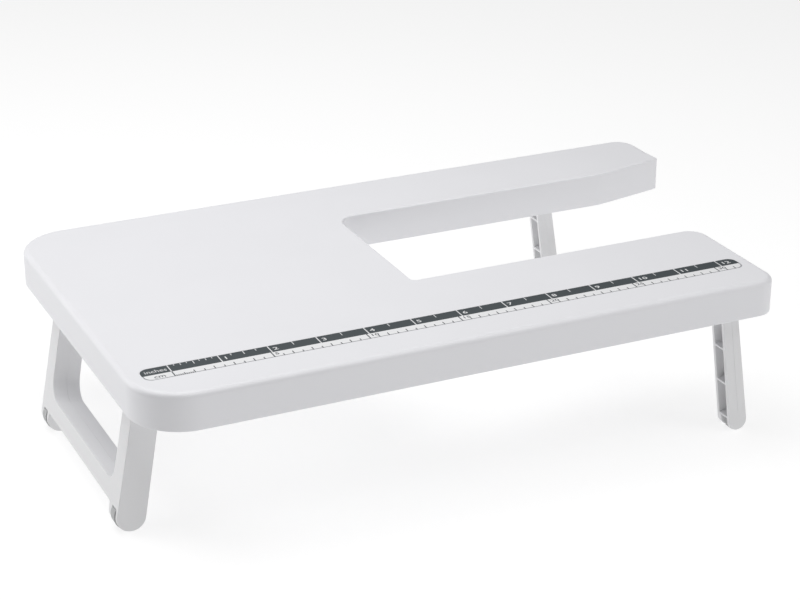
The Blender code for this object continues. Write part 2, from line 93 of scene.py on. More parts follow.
LEFT = {
    "joint": "left_leg_fold", "splay": math.radians(10.33), "outer": -1, "span": 130.8,
    "width": 12.7, "eye": 6.8, "foot": 7.55, "cheek": 2.2, "web": 2.4,
    "cells": ((9.5, 26.3), (27.7, 45.0), (46.4, 63.9)), "slot_top": 66.2, "slot": (2.5, 8.7),
}
RIGHT = {
    "splay": math.radians(8.43), "outer": 1, "span": 11.5,
    "width": 11.5, "eye": 4.55, "foot": 5.45, "cheek": 2.0, "web": 2.2,
    "cells": ((7.0, 26.3), (27.5, 47.1), (48.3, 67.7)), "slot_top": 68.9, "slot": (2.2, 8.0),
}
WINDOW_DEPTH = 55.6
WINDOW_CORNERS = ((-1, 7.0, 12), (1, 11.0, 14))
CROSSBAR_BOTTOM = 66.1
SEAM_DEPTH = 0.12
PIN_HOLE = 2.3
FOOT_PROUD = 0.3
PAD_GAP = 0.3
HINGE_Z = JOINTS["left_leg_fold"]["pos_m"][2] / MM


# ---------------------------------------------------------------- modelling by hand


def at(x, y, z):
    """A place in the plan, in metres."""
    return HOME + Vector((x, y, z)) * MM


def alone(obj):
    """Makes one object the whole selection."""
    bpy.ops.object.select_all(action="DESELECT")
    obj.select_set(True)
    bpy.context.view_layer.objects.active = obj


def settle(obj):
    """Moves the object's place, turn and size into its mesh."""
    alone(obj)
    bpy.ops.object.transform_apply(location=True, rotation=True, scale=True)
    return obj


def named(name):
    """Names the new object and its mesh."""
    obj = bpy.context.object
    obj.name = name
    obj.data.name = name
    return obj


def block(name, low, high, origin=HOME):
    """A block between two corners in millimetres."""
    bpy.ops.object.select_all(action="DESELECT")
    low = origin + Vector(low) * MM
    high = origin + Vector(high) * MM
    bpy.ops.mesh.primitive_cube_add(size=1, location=(low + high) / 2)
    obj = named(name)
    obj.scale = high - low
    return settle(obj)


def rod(name, radius, low, high, centre, axis="Z", origin=HOME, sides=32):
    """A round rod along Y or Z from low to high, centred on a point of the other two axes."""
    bpy.ops.object.select_all(action="DESELECT")
    middle = (low + high) / 2
    turned = axis == "Y"
    place = (centre[0], middle, centre[1]) if turned else (centre[0], centre[1], middle)
    bpy.ops.mesh.primitive_cylinder_add(
        vertices=sides, radius=radius * MM, depth=(high - low) * MM,
        location=origin + Vector(place) * MM, rotation=(math.pi / 2 if turned else 0, 0, 0),
    )
    return settle(named(name))


def pick(obj, kind, test):
    """Opens the object in edit mode with the faces, edges or corners selected that pass a test."""
    alone(obj)
    bpy.ops.object.mode_set(mode="EDIT")
    bpy.ops.mesh.select_mode(type=kind)
    bpy.ops.mesh.select_all(action="DESELECT")
    shape = bmesh.from_edit_mesh(obj.data)
    chosen = {"VERT": shape.verts, "EDGE": shape.edges, "FACE": shape.faces}[kind]
    for element in chosen:
        if test(element):
            element.select_set(True)
    shape.select_flush_mode()
    bmesh.update_edit_mesh(obj.data)


def close():
    """Leaves edit mode."""
    bpy.ops.object.mode_set(mode="OBJECT")


def round_edges(obj, test, radius, steps):
    """Bevels the edges that pass a test."""
    pick(obj, "EDGE", test)
    bpy.ops.mesh.bevel(
        offset_type="OFFSET", offset=radius * MM, segments=steps, profile=0.5, affect="EDGES",
        clamp_overlap=False,
    )
    close()


def upright_at(x, y):
    """A test for the upright edge at a place in the plan."""
    place = at(x, y, 0).xy

    def test(edge):
        first, second = (corner.co for corner in edge.verts)
        upright = (first.xy - second.xy).length < 1e-6 and abs(first.z - second.z) > 1e-4
        return upright and (first.xy - place).length < 0.02 * MM

    return test


def along(axis):
    """A test for straight edges along one axis."""
    others = [index for index in range(3) if index != axis]

    def test(edge):
        first, second = (corner.co for corner in edge.verts)
        return all(abs(first[index] - second[index]) < 1e-6 for index in others)

    return test


def cut_off(obj, place, normal):
    """Cuts away what lies beyond a plane and closes the cut."""
    pick(obj, "FACE", lambda face: True)
    bpy.ops.mesh.bisect(plane_co=place, plane_no=normal, use_fill=True, clear_outer=True)
    close()


def use(obj, kind, **settings):
    """Adds a modifier and applies it."""
    modifier = obj.modifiers.new(kind.lower(), kind)
    for name, value in settings.items():
        setattr(modifier, name, value)
    alone(obj)
    bpy.ops.object.modifier_apply(modifier=modifier.name)


def merge(obj, others, operation):
    """Joins other solids to a solid, or cuts them out of it, and removes them."""
    group = bpy.data.collections.new("helpers")
    for other in others:
        group.objects.link(other)
    use(
        obj, "BOOLEAN", operation=operation, operand_type="COLLECTION", collection=group,
        solver="EXACT",
    )
    for other in others:
        bpy.data.objects.remove(other)
    bpy.data.collections.remove(group)


def clean(obj, degrees=0.2):
    """Drops the edges that lie inside flat faces."""
    pick(obj, "FACE", lambda face: True)
    bpy.ops.mesh.remove_doubles(threshold=2e-6)
    bpy.ops.mesh.dissolve_limited(angle_limit=math.radians(degrees), delimit={"MATERIAL"})
    close()


def soften(obj, radius, steps=2, degrees=38):
    """Rounds every sharp edge a little, as a mould does."""
    use(
        obj, "BEVEL", width=radius * MM, segments=steps, limit_method="ANGLE",
        angle_limit=math.radians(degrees), use_clamp_overlap=True, miter_outer="MITER_ARC",
    )


def finish_shape(obj, degrees=32):
    """Shades a piece smooth between sharp edges and keeps its flat faces flat."""
    alone(obj)
    bpy.ops.object.shade_smooth_by_angle(angle=math.radians(degrees))
    use(obj, "WEIGHTED_NORMAL", keep_sharp=True, weight=80)


# ---------------------------------------------------------------- materials


class Value:
    """An output in a material's nodes; arithmetic on it adds Math nodes."""

    def __init__(self, finish, socket):
        self.finish = finish
        self.socket = socket

    def maths(self, operation, first, second=0.0):
        """Adds a Math node."""
        return self.finish.node("ShaderNodeMath", {"operation": operation}, first, second)

    def __add__(self, other):
        return self.maths("ADD", self, other)

    __radd__ = __add__

    def __sub__(self, other):
        return self.maths("SUBTRACT", self, other)

    def __rsub__(self, other):
        return self.maths("SUBTRACT", other, self)

    def __mul__(self, other):
        return self.maths("MULTIPLY", self, other)

    __rmul__ = __mul__

    def over(self, limit, soft):
        """0 below a limit and 1 above it, with a soft step."""
        return self.finish.node(
            "ShaderNodeMapRange", {"interpolation_type": "SMOOTHSTEP", "clamp": True},
            self, limit - soft, limit + soft, 0.0, 1.0,
        )


class Finish:
    """A procedural material and the shader it ends in."""

    def __init__(self, name):
        self.material = bpy.data.materials.new(name)
        self.material.use_nodes = True
        self.tree = self.material.node_tree
        self.shader = self.tree.nodes["Principled BSDF"]
        self.place = self.node("ShaderNodeTexCoord", {}, out="Object")

    def node(self, kind, settings, *values, out=0, **named_values):
        """Adds a node, first its settings, then the values or links of its sockets."""
        made = self.tree.nodes.new(kind)
        for name, value in settings.items():
            setattr(made, name, value)
        pairs = list(enumerate(values)) + list(named_values.items())
        for key, value in pairs:
            key = key.replace("_", " ") if isinstance(key, str) else key
            socket = made.inputs[key]
            if isinstance(value, Value):
                self.tree.links.new(value.socket, socket)
            else:
                socket.default_value = value
        return Value(self, made.outputs[out])

    def grain(self, size, detail=2.0, rough=0.5, stretch=(1, 1, 1)):
        """Noise from 0 to 1 whose blotches are about size millimetres across."""
        place = self.place
        if stretch != (1, 1, 1):
            place = self.node("ShaderNodeMapping", {}, self.place, Scale=stretch)
        return self.node(
            "ShaderNodeTexNoise", {}, Vector=place, Scale=1 / (size * MM), Detail=detail,
            Roughness=rough,
        )

    def blend(self, factor, first, second):
        """A mix of two colours."""
        made = self.tree.nodes.new("ShaderNodeMix")
        made.data_type = "RGBA"
        for index, value in ((0, factor), (6, first), (7, second)):
            if isinstance(value, Value):
                self.tree.links.new(value.socket, made.inputs[index])
            elif index:
                made.inputs[index].default_value = (*value, 1.0)
            else:
                made.inputs[index].default_value = value
        return Value(self, made.outputs[2])

    def relief(self, height, depth, strength=1.0):
        """A normal from a height of 0 to 1 that stands for a depth in millimetres."""
        return self.node(
            "ShaderNodeBump", {}, Strength=strength, Distance=depth * MM, Height=height,
        )

    def give(self, **sockets):
        """Sets or links the shader's sockets."""
        for name, value in sockets.items():
            socket = self.shader.inputs[name.replace("_", " ")]
            if isinstance(value, Value):
                self.tree.links.new(value.socket, socket)
            elif isinstance(value, tuple):
                socket.default_value = (*value, 1.0)
            else:
                socket.default_value = value
        return self.material


def moulded_plastic(name, light, dark, gloss):
    """Satin plastic with a fine spark-eroded grain, faint flow tone and small handling marks."""
    made = Finish(name)
    fine = made.grain(0.55, 3.0, 0.6)
    broad = made.grain(38.0, 2.0, 0.5)
    speck = made.grain(1.6, 2.0, 0.5)
    tone = made.blend(fine * 0.5 + broad * 0.5, dark, light)
    scuff = made.grain(9.0, 4.0, 0.65, (1, 5, 1)).over(0.67, 0.06)
    rough = gloss + fine * 0.08 + broad * 0.05 + scuff * 0.07
    skin = fine * 0.7 + speck * 0.3
    return made.give(
        Base_Color=tone, Roughness=rough, Normal=made.relief(skin, 0.016, 0.5),
        IOR=1.49, Coat_Weight=0.0,
    )


def soft_rubber(name):
    """Grey pad rubber, dull, with dust worn into it."""
    made = Finish(name)
    grain = made.grain(0.35, 3.0, 0.6)
    dust = made.grain(3.0, 3.0, 0.6)
    colour = made.blend(dust * 0.8 + grain * 0.2, (0.43, 0.435, 0.44), (0.53, 0.535, 0.54))
    return made.give(
        Base_Color=colour, Roughness=0.72 + dust * 0.12, Normal=made.relief(grain, 0.03, 0.5),
    )


def drawn_steel(name, tone):
    """Bright steel rod with drawing lines and light oxide."""
    made = Finish(name)
    lines = made.grain(0.12, 2.0, 0.5, (1, 0.04, 1))
    spots = made.grain(2.2, 3.0, 0.6)
    colour = made.blend(spots, tuple(0.82 * c for c in tone), tone)
    return made.give(
        Base_Color=colour, Metallic=1.0, Roughness=0.24 + lines * 0.14 + spots * 0.06,
        Normal=made.relief(lines, 0.004, 0.4),
    )


def zinc_plate(name):
    """Zinc-plated screw steel with a slight blue cast."""
    made = Finish(name)
    bloom = made.grain(0.9, 3.0, 0.6)
    fine = made.grain(0.15, 2.0, 0.5)
    colour = made.blend(bloom, (0.52, 0.54, 0.56), (0.68, 0.69, 0.70))
    return made.give(
        Base_Color=colour, Metallic=1.0, Roughness=0.30 + bloom * 0.15,
        Normal=made.relief(fine, 0.004, 0.4),
    )


def printed_film(name, light, dark, rough):
    """Film or ink with a faint tooth."""
    made = Finish(name)
    tooth = made.grain(0.22, 2.0, 0.5)
    wear = made.grain(7.0, 3.0, 0.6)
    colour = made.blend(tooth * 0.4 + wear * 0.6, dark, light)
    return made.give(
        Base_Color=colour, Roughness=rough + wear * 0.08, Normal=made.relief(tooth, 0.006, 0.4),
    )


TOP_WHITE = moulded_plastic("tabletop_white", (0.825, 0.825, 0.85), (0.795, 0.795, 0.82), 0.38)
LEG_WHITE = moulded_plastic("leg_white", (0.80, 0.80, 0.81), (0.765, 0.765, 0.775), 0.40)
BRACKET_WHITE = moulded_plastic("bracket_white", (0.72, 0.72, 0.73), (0.68, 0.68, 0.69), 0.46)
PAD_GREY = soft_rubber("pad_grey")
PIN_STEEL = drawn_steel("pin_steel", (0.66, 0.66, 0.67))
SCREW_ZINC = zinc_plate("screw_zinc")
BAND_SLATE = printed_film("band_slate", (0.062, 0.074, 0.080), (0.054, 0.065, 0.071), 0.5)
BAND_WHITE = printed_film("band_white", (0.84, 0.84, 0.85), (0.81, 0.81, 0.82), 0.38)
INK_WHITE = printed_film("ink_white", (0.80, 0.80, 0.81), (0.72, 0.72, 0.73), 0.45)
INK_GREY = printed_film("ink_grey", (0.105, 0.118, 0.125), (0.085, 0.096, 0.105), 0.45)
INK_PALE = printed_film("ink_pale", (0.34, 0.345, 0.365), (0.30, 0.305, 0.325), 0.45)


def wear_it(obj, material):
    """Makes one material the object's only one."""
    obj.data.materials.clear()
    obj.data.materials.append(material)


def part(obj, material, body, node=None):
    """Gives a finished piece its material and its body, and hides the imported node it stands for.
    """
    if material:
        wear_it(obj, material)
    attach(obj, body)
    if node:
        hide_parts(node)
    return obj


# ---------------------------------------------------------------- tabletop


def outline_block(name, low, high, radius, bottom, top, steps=10):
    """A block with its four upright edges rounded."""
    made = block(name, (*low, bottom), (*high, top))
    for x in (low[0], high[0]):
        for y in (low[1], high[1]):
            round_edges(made, upright_at(x, y), radius, steps)
    return made


def plan_solid(name, inset, bottom, top):
    """The tabletop's plan as a solid, with every wall moved inwards by an inset."""
    lengths = (LENGTH - inset, DEPTH - inset)
    solid = block(name, (inset, inset, bottom), (*lengths, top))
    notch_front, notch_rear = NOTCH_Y[0] - inset, NOTCH_Y[1] + inset
    notch_left, arm_end = NOTCH_X - inset, FRONT_ARM - inset
    kink = KINK_X - 0.107 * inset
    notch = block("notch_space", (notch_left, notch_front, 40), (BEYOND, notch_rear, 110))
    pick(notch, "FACE", lambda face: True)
    bpy.ops.mesh.bisect(plane_co=at(kink, 0, 0), plane_no=(1, 0, 0))
    close()
    far_corner = at(BEYOND, notch_rear, 0).xy
    pick(notch, "VERT", lambda corner: (corner.co.xy - far_corner).length < 1e-5)
    bpy.ops.transform.translate(value=(0, KINK_SLOPE * (BEYOND - kink) * MM, 0))
    close()
    beyond = block("front_arm_end_space", (arm_end, -20, 40), (BEYOND, 100, 110))
    merge(solid, [notch, beyond], "DIFFERENCE")
    clean(solid)
    tip = notch_rear + KINK_SLOPE * (lengths[0] - kink)
    plan = [
        (inset, inset, LEFT_CORNER - inset, 16), (inset, lengths[1], LEFT_CORNER - inset, 16),
        (arm_end, inset, ARM_CORNER - inset, 10), (arm_end, notch_front, ARM_CORNER - inset, 10),
        (notch_left, notch_front, 3.0 + inset, 8), (notch_left, notch_rear, 10.0 + inset, 10),
        (kink, notch_rear, 2.1, 6), (lengths[0], tip, max(1.6 - inset, 0.4), 6),
        (lengths[0], lengths[1], ARM_CORNER - inset, 10),
    ]
    for x, y, radius, steps in plan:
        round_edges(solid, upright_at(x, y), radius, steps)
    return solid


def make_tabletop():
    """The tray: plan, rim, hollow, ribs, pilot holes and the label's recess."""
    top = plan_solid("tabletop_moulding", 0, SKIRT_BOTTOM, TOP)
    end_x = at(LENGTH - 6, 0, 0).x
    for y in RIM_STEPS_Y:
        pick(top, "FACE", lambda face: face.normal.x > 0.99 and face.calc_center_median().x > end_x)
        bpy.ops.mesh.bisect(plane_co=at(0, y, 0), plane_no=(0, 1, 0))
        close()
    weigh_rim(top)
    use(
        top, "BEVEL", width=RIM * MM, segments=6, limit_method="WEIGHT", profile=0.5,
        use_clamp_overlap=False,
    )
    hollow = plan_solid("hollow", WALL, SKIRT_BOTTOM - 5, CEILING)
    merge(top, [hollow], "DIFFERENCE")

    holes = [
        rod("pilot", 1.7, TOP - 10, TOP - 3.6, place, sides=24) for place in screw_places()
    ]
    recess = outline_block("label_space", (8.15, 21.05), (338.45, 34.35), 4.65, TOP - 0.3, TOP + 2)
    merge(top, tray_ribs(), "UNION")
    merge(top, [*holes, recess], "DIFFERENCE")
    clean(top, 0.1)
    finish_shape(top, 25)
    return part(top, TOP_WHITE, "root", "tabletop")


def rim_share(x, y):
    """How much of the full rim radius an edge of the outline takes."""
    notch_share = NOTCH_RIM / RIM
    if x > NOTCH_X - 1 and NOTCH_Y[0] - 0.2 < y < TIP_Y + 0.2:
        return notch_share
    if x > FRONT_ARM - ARM_CORNER and NOTCH_Y[0] - ARM_CORNER < y < NOTCH_Y[0] + 0.2:
        return 1 - (1 - notch_share) * (y - NOTCH_Y[0] + ARM_CORNER) / ARM_CORNER
    if x > LENGTH - 3 and y < RIM_STEPS_Y[0]:
        return notch_share
    if x > LENGTH - 3 and y < RIM_STEPS_Y[1]:
        return 0.67
    return 1.0


def weigh_rim(top):
    """Weighs the outline's upper edges for the rim, and the lower ones for a light round."""
    shape = bmesh.new()
    shape.from_mesh(top.data)
    weight = shape.edges.layers.float.new("bevel_weight_edge")
    for edge in shape.edges:
        first, second = (corner.co for corner in edge.verts)
        ups = sorted(abs(face.normal.z) for face in edge.link_faces)
        if ups[0] > 0.1 or ups[-1] < 0.9:
            continue
        if min(first.z, second.z) > (TOP - 0.01) * MM:
            middle = ((first + second) / 2 - HOME) / MM
            edge[weight] = rim_share(middle.x, middle.y)
        elif max(first.z, second.z) < (SKIRT_BOTTOM + 0.01) * MM:
            edge[weight] = 0.5 / RIM
    shape.to_mesh(top.data)
    shape.free()


def screw_places():
    """Plan positions of the eight bracket screws."""
    places = []
    for number in range(1, 9):
        low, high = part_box(f"hinge_screw_{number}")
        middle = ((low + high) / 2 - HOME) / MM
        places.append((middle.x, middle.y))
    return places


def tray_ribs():
    """Ribs and screw bosses under the top."""
    low_z, high_z = CEILING - RIB_DEPTH, CEILING + RIB_BITE
    near, far = WALL - RIB_BITE, DEPTH - WALL + RIB_BITE
    notch_front, notch_rear = NOTCH_Y[0] - RIB_BITE, NOTCH_Y[1] + RIB_BITE
    half = RIB_HALF
    runs = []
    for x in WIDE_RIBS_X:
        runs.append((x - half, near, x + half, far))
    for x in ARM_RIBS_X:
        runs.append((x - half, near, x + half, notch_front))
        runs.append((x - half, notch_rear, x + half, far))
    for x in CELL_RIBS_X:
        runs.append((x - half, FRONT_RIB_Y, x + half, notch_front))
        runs.append((x - half, notch_rear, x + half, REAR_RIB_Y))
    for y, end in (
        (FRONT_RIB_Y, FRONT_ARM), (REAR_RIB_Y, LENGTH), (MIDDLE_RIB_Y, NOTCH_X),
    ):
        runs.append((WIDE_RIBS_X[0], y - half, end - RIB_BITE, y + half))
    made = []
    for left, front, right, rear in runs:
        rib = block("rib", (left, front, low_z), (right, rear, high_z))
        bottom = at(0, 0, low_z).z
        long_axis = 0 if right - left > rear - front else 1
        is_long = along(long_axis)
        round_edges(
            rib, lambda edge: is_long(edge) and edge.verts[0].co.z < bottom + 1e-6, 0.45, 3
        )
        made.append(rib)
    for place in screw_places():
        made.append(rod("boss", 3.4, TOP - 9.0, high_z, place))
    return made


# ---------------------------------------------------------------- measuring scale

SCALE_Z = TOP - 0.07
ZERO = 22.8
INCH = 25.4
BAND_Y = (21.2, 26.9, 34.2)


def make_film():
    """The label's film, with a dark band behind a white one."""
    film = outline_block("scale_film", (8.3, 21.2), (338.3, 34.2), 4.5, TOP - 0.26, SCALE_Z, 12)
    pick(film, "FACE", lambda face: True)
    bpy.ops.mesh.bisect(plane_co=at(0, BAND_Y[1], 0), plane_no=(0, 1, 0))
    close()
    film.data.materials.append(BAND_SLATE)
    film.data.materials.append(BAND_WHITE)
    border = at(0, BAND_Y[1], 0).y
    for face in film.data.polygons:
        face.material_index = 0 if face.center.y > border else 1
    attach(film, "root")
    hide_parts("scale_label")
    return film


def join(name, pieces):
    """Makes one object of several."""
    bpy.ops.object.select_all(action="DESELECT")
    for piece in pieces:
        piece.select_set(True)
    bpy.context.view_layer.objects.active = pieces[0]
    if len(pieces) > 1:
        bpy.ops.object.join()
    return named(name)


def mark(x, y_low, y_high, width):
    """A tick of the scale."""
    low, high = SCALE_Z - 0.02, SCALE_Z + 0.03
    return block("mark", (x - width / 2, y_low, low), (x + width / 2, y_high, high))


def lettering(text, x, y, size, stretch, weight=0.0, align="LEFT"):
    """A word or number lying on the film, made a mesh."""
    bpy.ops.object.select_all(action="DESELECT")
    bpy.ops.object.text_add(location=at(x, y, SCALE_Z + 0.005))
    obj = bpy.context.object
    obj.data.body = text
    obj.data.size = size * MM
    obj.data.align_x = align
    obj.data.extrude = 0.025 * MM
    obj.data.offset = weight * MM
    obj.data.resolution_u = 3
    obj.scale = (stretch, 1, 1)
    bpy.ops.object.convert(target="MESH")
    return settle(named("lettering"))


def make_inch_marks():
    """Inch lines and their parts, finer in the first two inches, with numbers."""
    front, rear = BAND_Y[1], BAND_Y[2]
    marks = []
    for inch in range(13):
        marks.append(mark(ZERO + INCH * inch, front, rear, 0.55))
    for inch in range(12):
        if inch == 0:
            parts_of_inch = {1: 1.5, 2: 2.2, 3: 1.5, 4: 3.4, 5: 1.5, 6: 2.2, 7: 1.5}
        elif inch == 1:
            parts_of_inch = {2: 2.2, 4: 3.4, 6: 2.2}
        else:
            parts_of_inch = {4: 3.4}
        for eighth, length in parts_of_inch.items():
            x = ZERO + INCH * (inch + eighth / 8)
            marks.append(mark(x, rear - length, rear - 0.15, 0.38))
    for inch in range(1, 13):
        marks.append(lettering(str(inch), ZERO + INCH * inch + 1.6, 29.0, 4.1, 1.35, 0.04))
    marks.append(lettering("inches", 15.9, 28.9, 4.5, 1.0, 0.0, "CENTER"))
    made = join("inch_marks", marks)
    part(made, INK_WHITE, "root")


def make_centimetre_marks():
    """Centimetre ticks, millimetres in the first one, numbers every five, and the outline."""
    front, rear = BAND_Y[0], BAND_Y[1]
    marks = []
    for centimetre in range(32):
        x = ZERO + 10 * centimetre
        if centimetre % 5 == 0:
            marks.append(mark(x, front + 0.15, rear, 0.6))
        else:
            marks.append(mark(x, front + 0.15, front + 3.2, 0.52))
        if x + 5 < 334:
            marks.append(mark(x + 5, front + 0.15, front + 2.3, 0.52))
    for millimetre in (1, 2, 3, 4, 6, 7, 8, 9):
        marks.append(mark(ZERO + millimetre, front + 0.15, front + 1.6, 0.42))
    for centimetre in range(5, 31, 5):
        x = ZERO + 10 * centimetre + 1.2
        marks.append(lettering(str(centimetre), x, 23.6, 3.4, 1.35, 0.03))
    marks.append(lettering("cm", 16.0, 22.8, 4.4, 1.12, 0.02, "CENTER"))
    made = join("centimetre_marks", marks)
    part(made, INK_GREY, "root")

    low, high = SCALE_Z - 0.02, SCALE_Z + 0.03
    line = outline_block("scale_outline", (8.4, 21.3), (338.2, 34.1), 4.4, low, high, 12)
    inside = outline_block("inside", (8.95, 21.85), (337.65, 33.55), 3.85, low - 1, high + 1, 12)
    behind = block("behind", (0, BAND_Y[1], low - 1), (400, 60, high + 1))
    merge(line, [inside, behind], "DIFFERENCE")
    part(line, INK_PALE, "root")


# ---------------------------------------------------------------- legs

UPRIGHT = Vector((0, 0, 0))


def leg_reach(leg):
    """Hinge axis to the centre of the foot's round."""
    return (HINGE_Z - leg["foot"] - FOOT_PROUD) / math.cos(leg["splay"])


def hang(obj, leg, joint):
    """Moves a piece shaped upright round its hinge axis to its place."""
    obj.matrix_world = Matrix.Translation(joint["pos_m"]) @ Matrix.Rotation(
        -leg["outer"] * leg["splay"], 4, "Y"
    )
    return settle(obj)


def leg_slab(name, leg):
    """The leg's solid side view: round at the eye, wider towards the round foot."""
    half = leg["span"] / 2
    length = leg_reach(leg)
    bottom = -length - leg["foot"]
    slab = block(name, (-leg["foot"], -half, bottom), (leg["foot"], half, leg["eye"]), UPRIGHT)
    pick(slab, "VERT", lambda corner: corner.co.z > 0)
    share = leg["eye"] / leg["foot"]
    bpy.ops.transform.resize(value=(share, 1, 1), center_override=(0, 0, 0))
    close()
    level = along(1)
    lower = leg["foot"] * 0.99
    upper = leg["eye"] * 0.98
    round_edges(slab, lambda edge: level(edge) and edge.verts[0].co.z < -length * MM, lower, 14)
    round_edges(slab, lambda edge: level(edge) and edge.verts[0].co.z > upper * MM, upper, 8)
    return slab


def cell_spaces(leg, side):
    """The cells between the ribs of one leg, open on its inner side."""
    outer = leg["outer"]
    floor = outer * (leg["eye"] - leg["web"])
    left, right = sorted((floor, -outer * 20))
    low_y, high_y = side + leg["cheek"], side + leg["width"] - leg["cheek"]
    made = []
    for near, far in leg["cells"]:
        cell = block("cell", (left, low_y, -far), (right, high_y, -near), UPRIGHT)
        round_edges(cell, along(0), 0.6, 3)
        made.append(cell)
    low_y, high_y = (side + edge for edge in leg["slot"])
    made.append(block("slot", (-20, low_y, -120), (20, high_y, -leg["slot_top"]), UPRIGHT))
    return made


def round_window(solid):
    """Rounds the window's lower corners, the rear one wider than the front one."""
    level = along(0)
    for side, radius, steps in WINDOW_CORNERS:
        round_edges(
            solid,
            lambda e: level(e) and e.verts[0].co.z < 0 and e.verts[0].co.y * side > 0,
            radius, steps,
        )


def make_left_frame():
    """Two legs and a crossbar in one moulding, with a faint parting line round the window."""
    leg = LEFT
    half = leg["span"] / 2
    gap = half - leg["width"]
    slab = leg_slab("left_leg_frame_moulding", leg)

    window = block("window", (-20, -gap, -WINDOW_DEPTH), (20, gap, 20), UPRIGHT)
    round_window(window)
    level = along(0)
    under = block("under", (-20, -gap, -120), (20, gap, -CROSSBAR_BOTTOM), UPRIGHT)
    round_edges(under, lambda e: level(e) and e.verts[0].co.z > -0.1, 1.5, 5)
    cutters = [window, under]
    for side in (-half, gap):
        cutters += cell_spaces(leg, side)
    step = 2 * (gap - leg["cheek"]) / 5
    for number in range(5):
        left = -gap + leg["cheek"] + step * number + 0.6
        cell = block("cell", (-4.4, left, -63.9), (20, left + step - 1.2, -57.8), UPRIGHT)
        round_edges(cell, along(0), 0.6, 3)
        cutters.append(cell)
    cutters.append(rod("eye", PIN_HOLE, -half - 1, half + 1, (0, 0), "Y", UPRIGHT))
    merge(slab, cutters, "DIFFERENCE")
    clean(slab)
    soften(slab, 0.65, 3)

    low = (-0.17, -gap - SEAM_DEPTH, -WINDOW_DEPTH - SEAM_DEPTH)
    seam = block("seam", low, (0.17, gap + SEAM_DEPTH, 20), UPRIGHT)
    round_window(seam)
    merge(slab, [seam], "DIFFERENCE")
    hang(slab, leg, JOINTS[leg["joint"]])
    finish_shape(slab)
    return part(slab, LEG_WHITE, "left_frame", "left_leg_frame")


def make_right_leg(corner):
    """A single leg, with a faint parting line down its front and rear faces."""
    leg = RIGHT
    joint = JOINTS[f"{corner}_leg_fold"]
    half = leg["span"] / 2
    slab = leg_slab(f"{corner}_leg_moulding", leg)
    cutters = cell_spaces(leg, -half)
    cutters.append(rod("eye", PIN_HOLE, -half - 1, half + 1, (0, 0), "Y", UPRIGHT))
    merge(slab, cutters, "DIFFERENCE")
    clean(slab)
    soften(slab, 0.45, 3)
    seams = []
    for side in (-half, half):
        seams.append(
            block("seam", (0.1, side - 0.11, -66.0), (0.45, side + 0.11, -6.0), UPRIGHT)
        )
    merge(slab, seams, "DIFFERENCE")
    hang(slab, leg, joint)
    finish_shape(slab)
    return part(slab, LEG_WHITE, corner, f"{corner}_leg")


def make_pad(corner):
    """A soft pad between the foot's cheeks, round outside, cut flat inside and at the floor."""
    leg = LEFT if corner.startswith("left") else RIGHT
    joint = JOINTS["left_leg_fold" if leg is LEFT else f"{corner}_leg_fold"]
    half = leg["span"] / 2
    side = half - leg["width"] if corner == "left_rear" else -half
    outer = leg["outer"]
    length = leg_reach(leg)
    radius = leg["foot"] + 0.5
    low_y = side + leg["slot"][0] + PAD_GAP
    high_y = side + leg["slot"][1] - PAD_GAP
    centre = (0, -length)
    pad = rod(f"pad_{corner}", radius, low_y, high_y, centre, "Y", UPRIGHT, 64)
    lean = math.radians(32)
    inner_x = -outer * radius * math.sin(lean)
    cut_off(pad, Vector((inner_x, 0, 0)) * MM, (-outer, 0, 0))
    lid = -leg["slot_top"] - PAD_GAP
    cut_off(pad, Vector((0, 0, lid)) * MM, (0, 0, 1))
    hang(pad, leg, joint)
    cut_off(pad, (0, 0, 0), (0, 0, -1))
    soften(pad, 0.3, 3)
    clean(pad)
    finish_shape(pad)
    body = "left_frame" if leg is LEFT else corner
    return part(pad, PAD_GREY, body, f"foot_pad_{corner}")


# ---------------------------------------------------------------- hinge brackets, pins and screws

BRACKET_DROP = 8.0
CHEEK_GAP = 0.4
FRONT_FACES = {
    "left_front": 37.9, "left_rear": 156.0, "right_front": 5.2, "right_rear": DEPTH - 16.7,
}


def hinge_place(corner):
    """Where the leg's front face meets the hinge axis."""
    leg_joint = "left_leg_fold" if corner.startswith("left") else f"{corner}_leg_fold"
    x, _, z = JOINTS[leg_joint]["pos_m"]
    return Vector((x, at(0, FRONT_FACES[corner], 0).y, z))


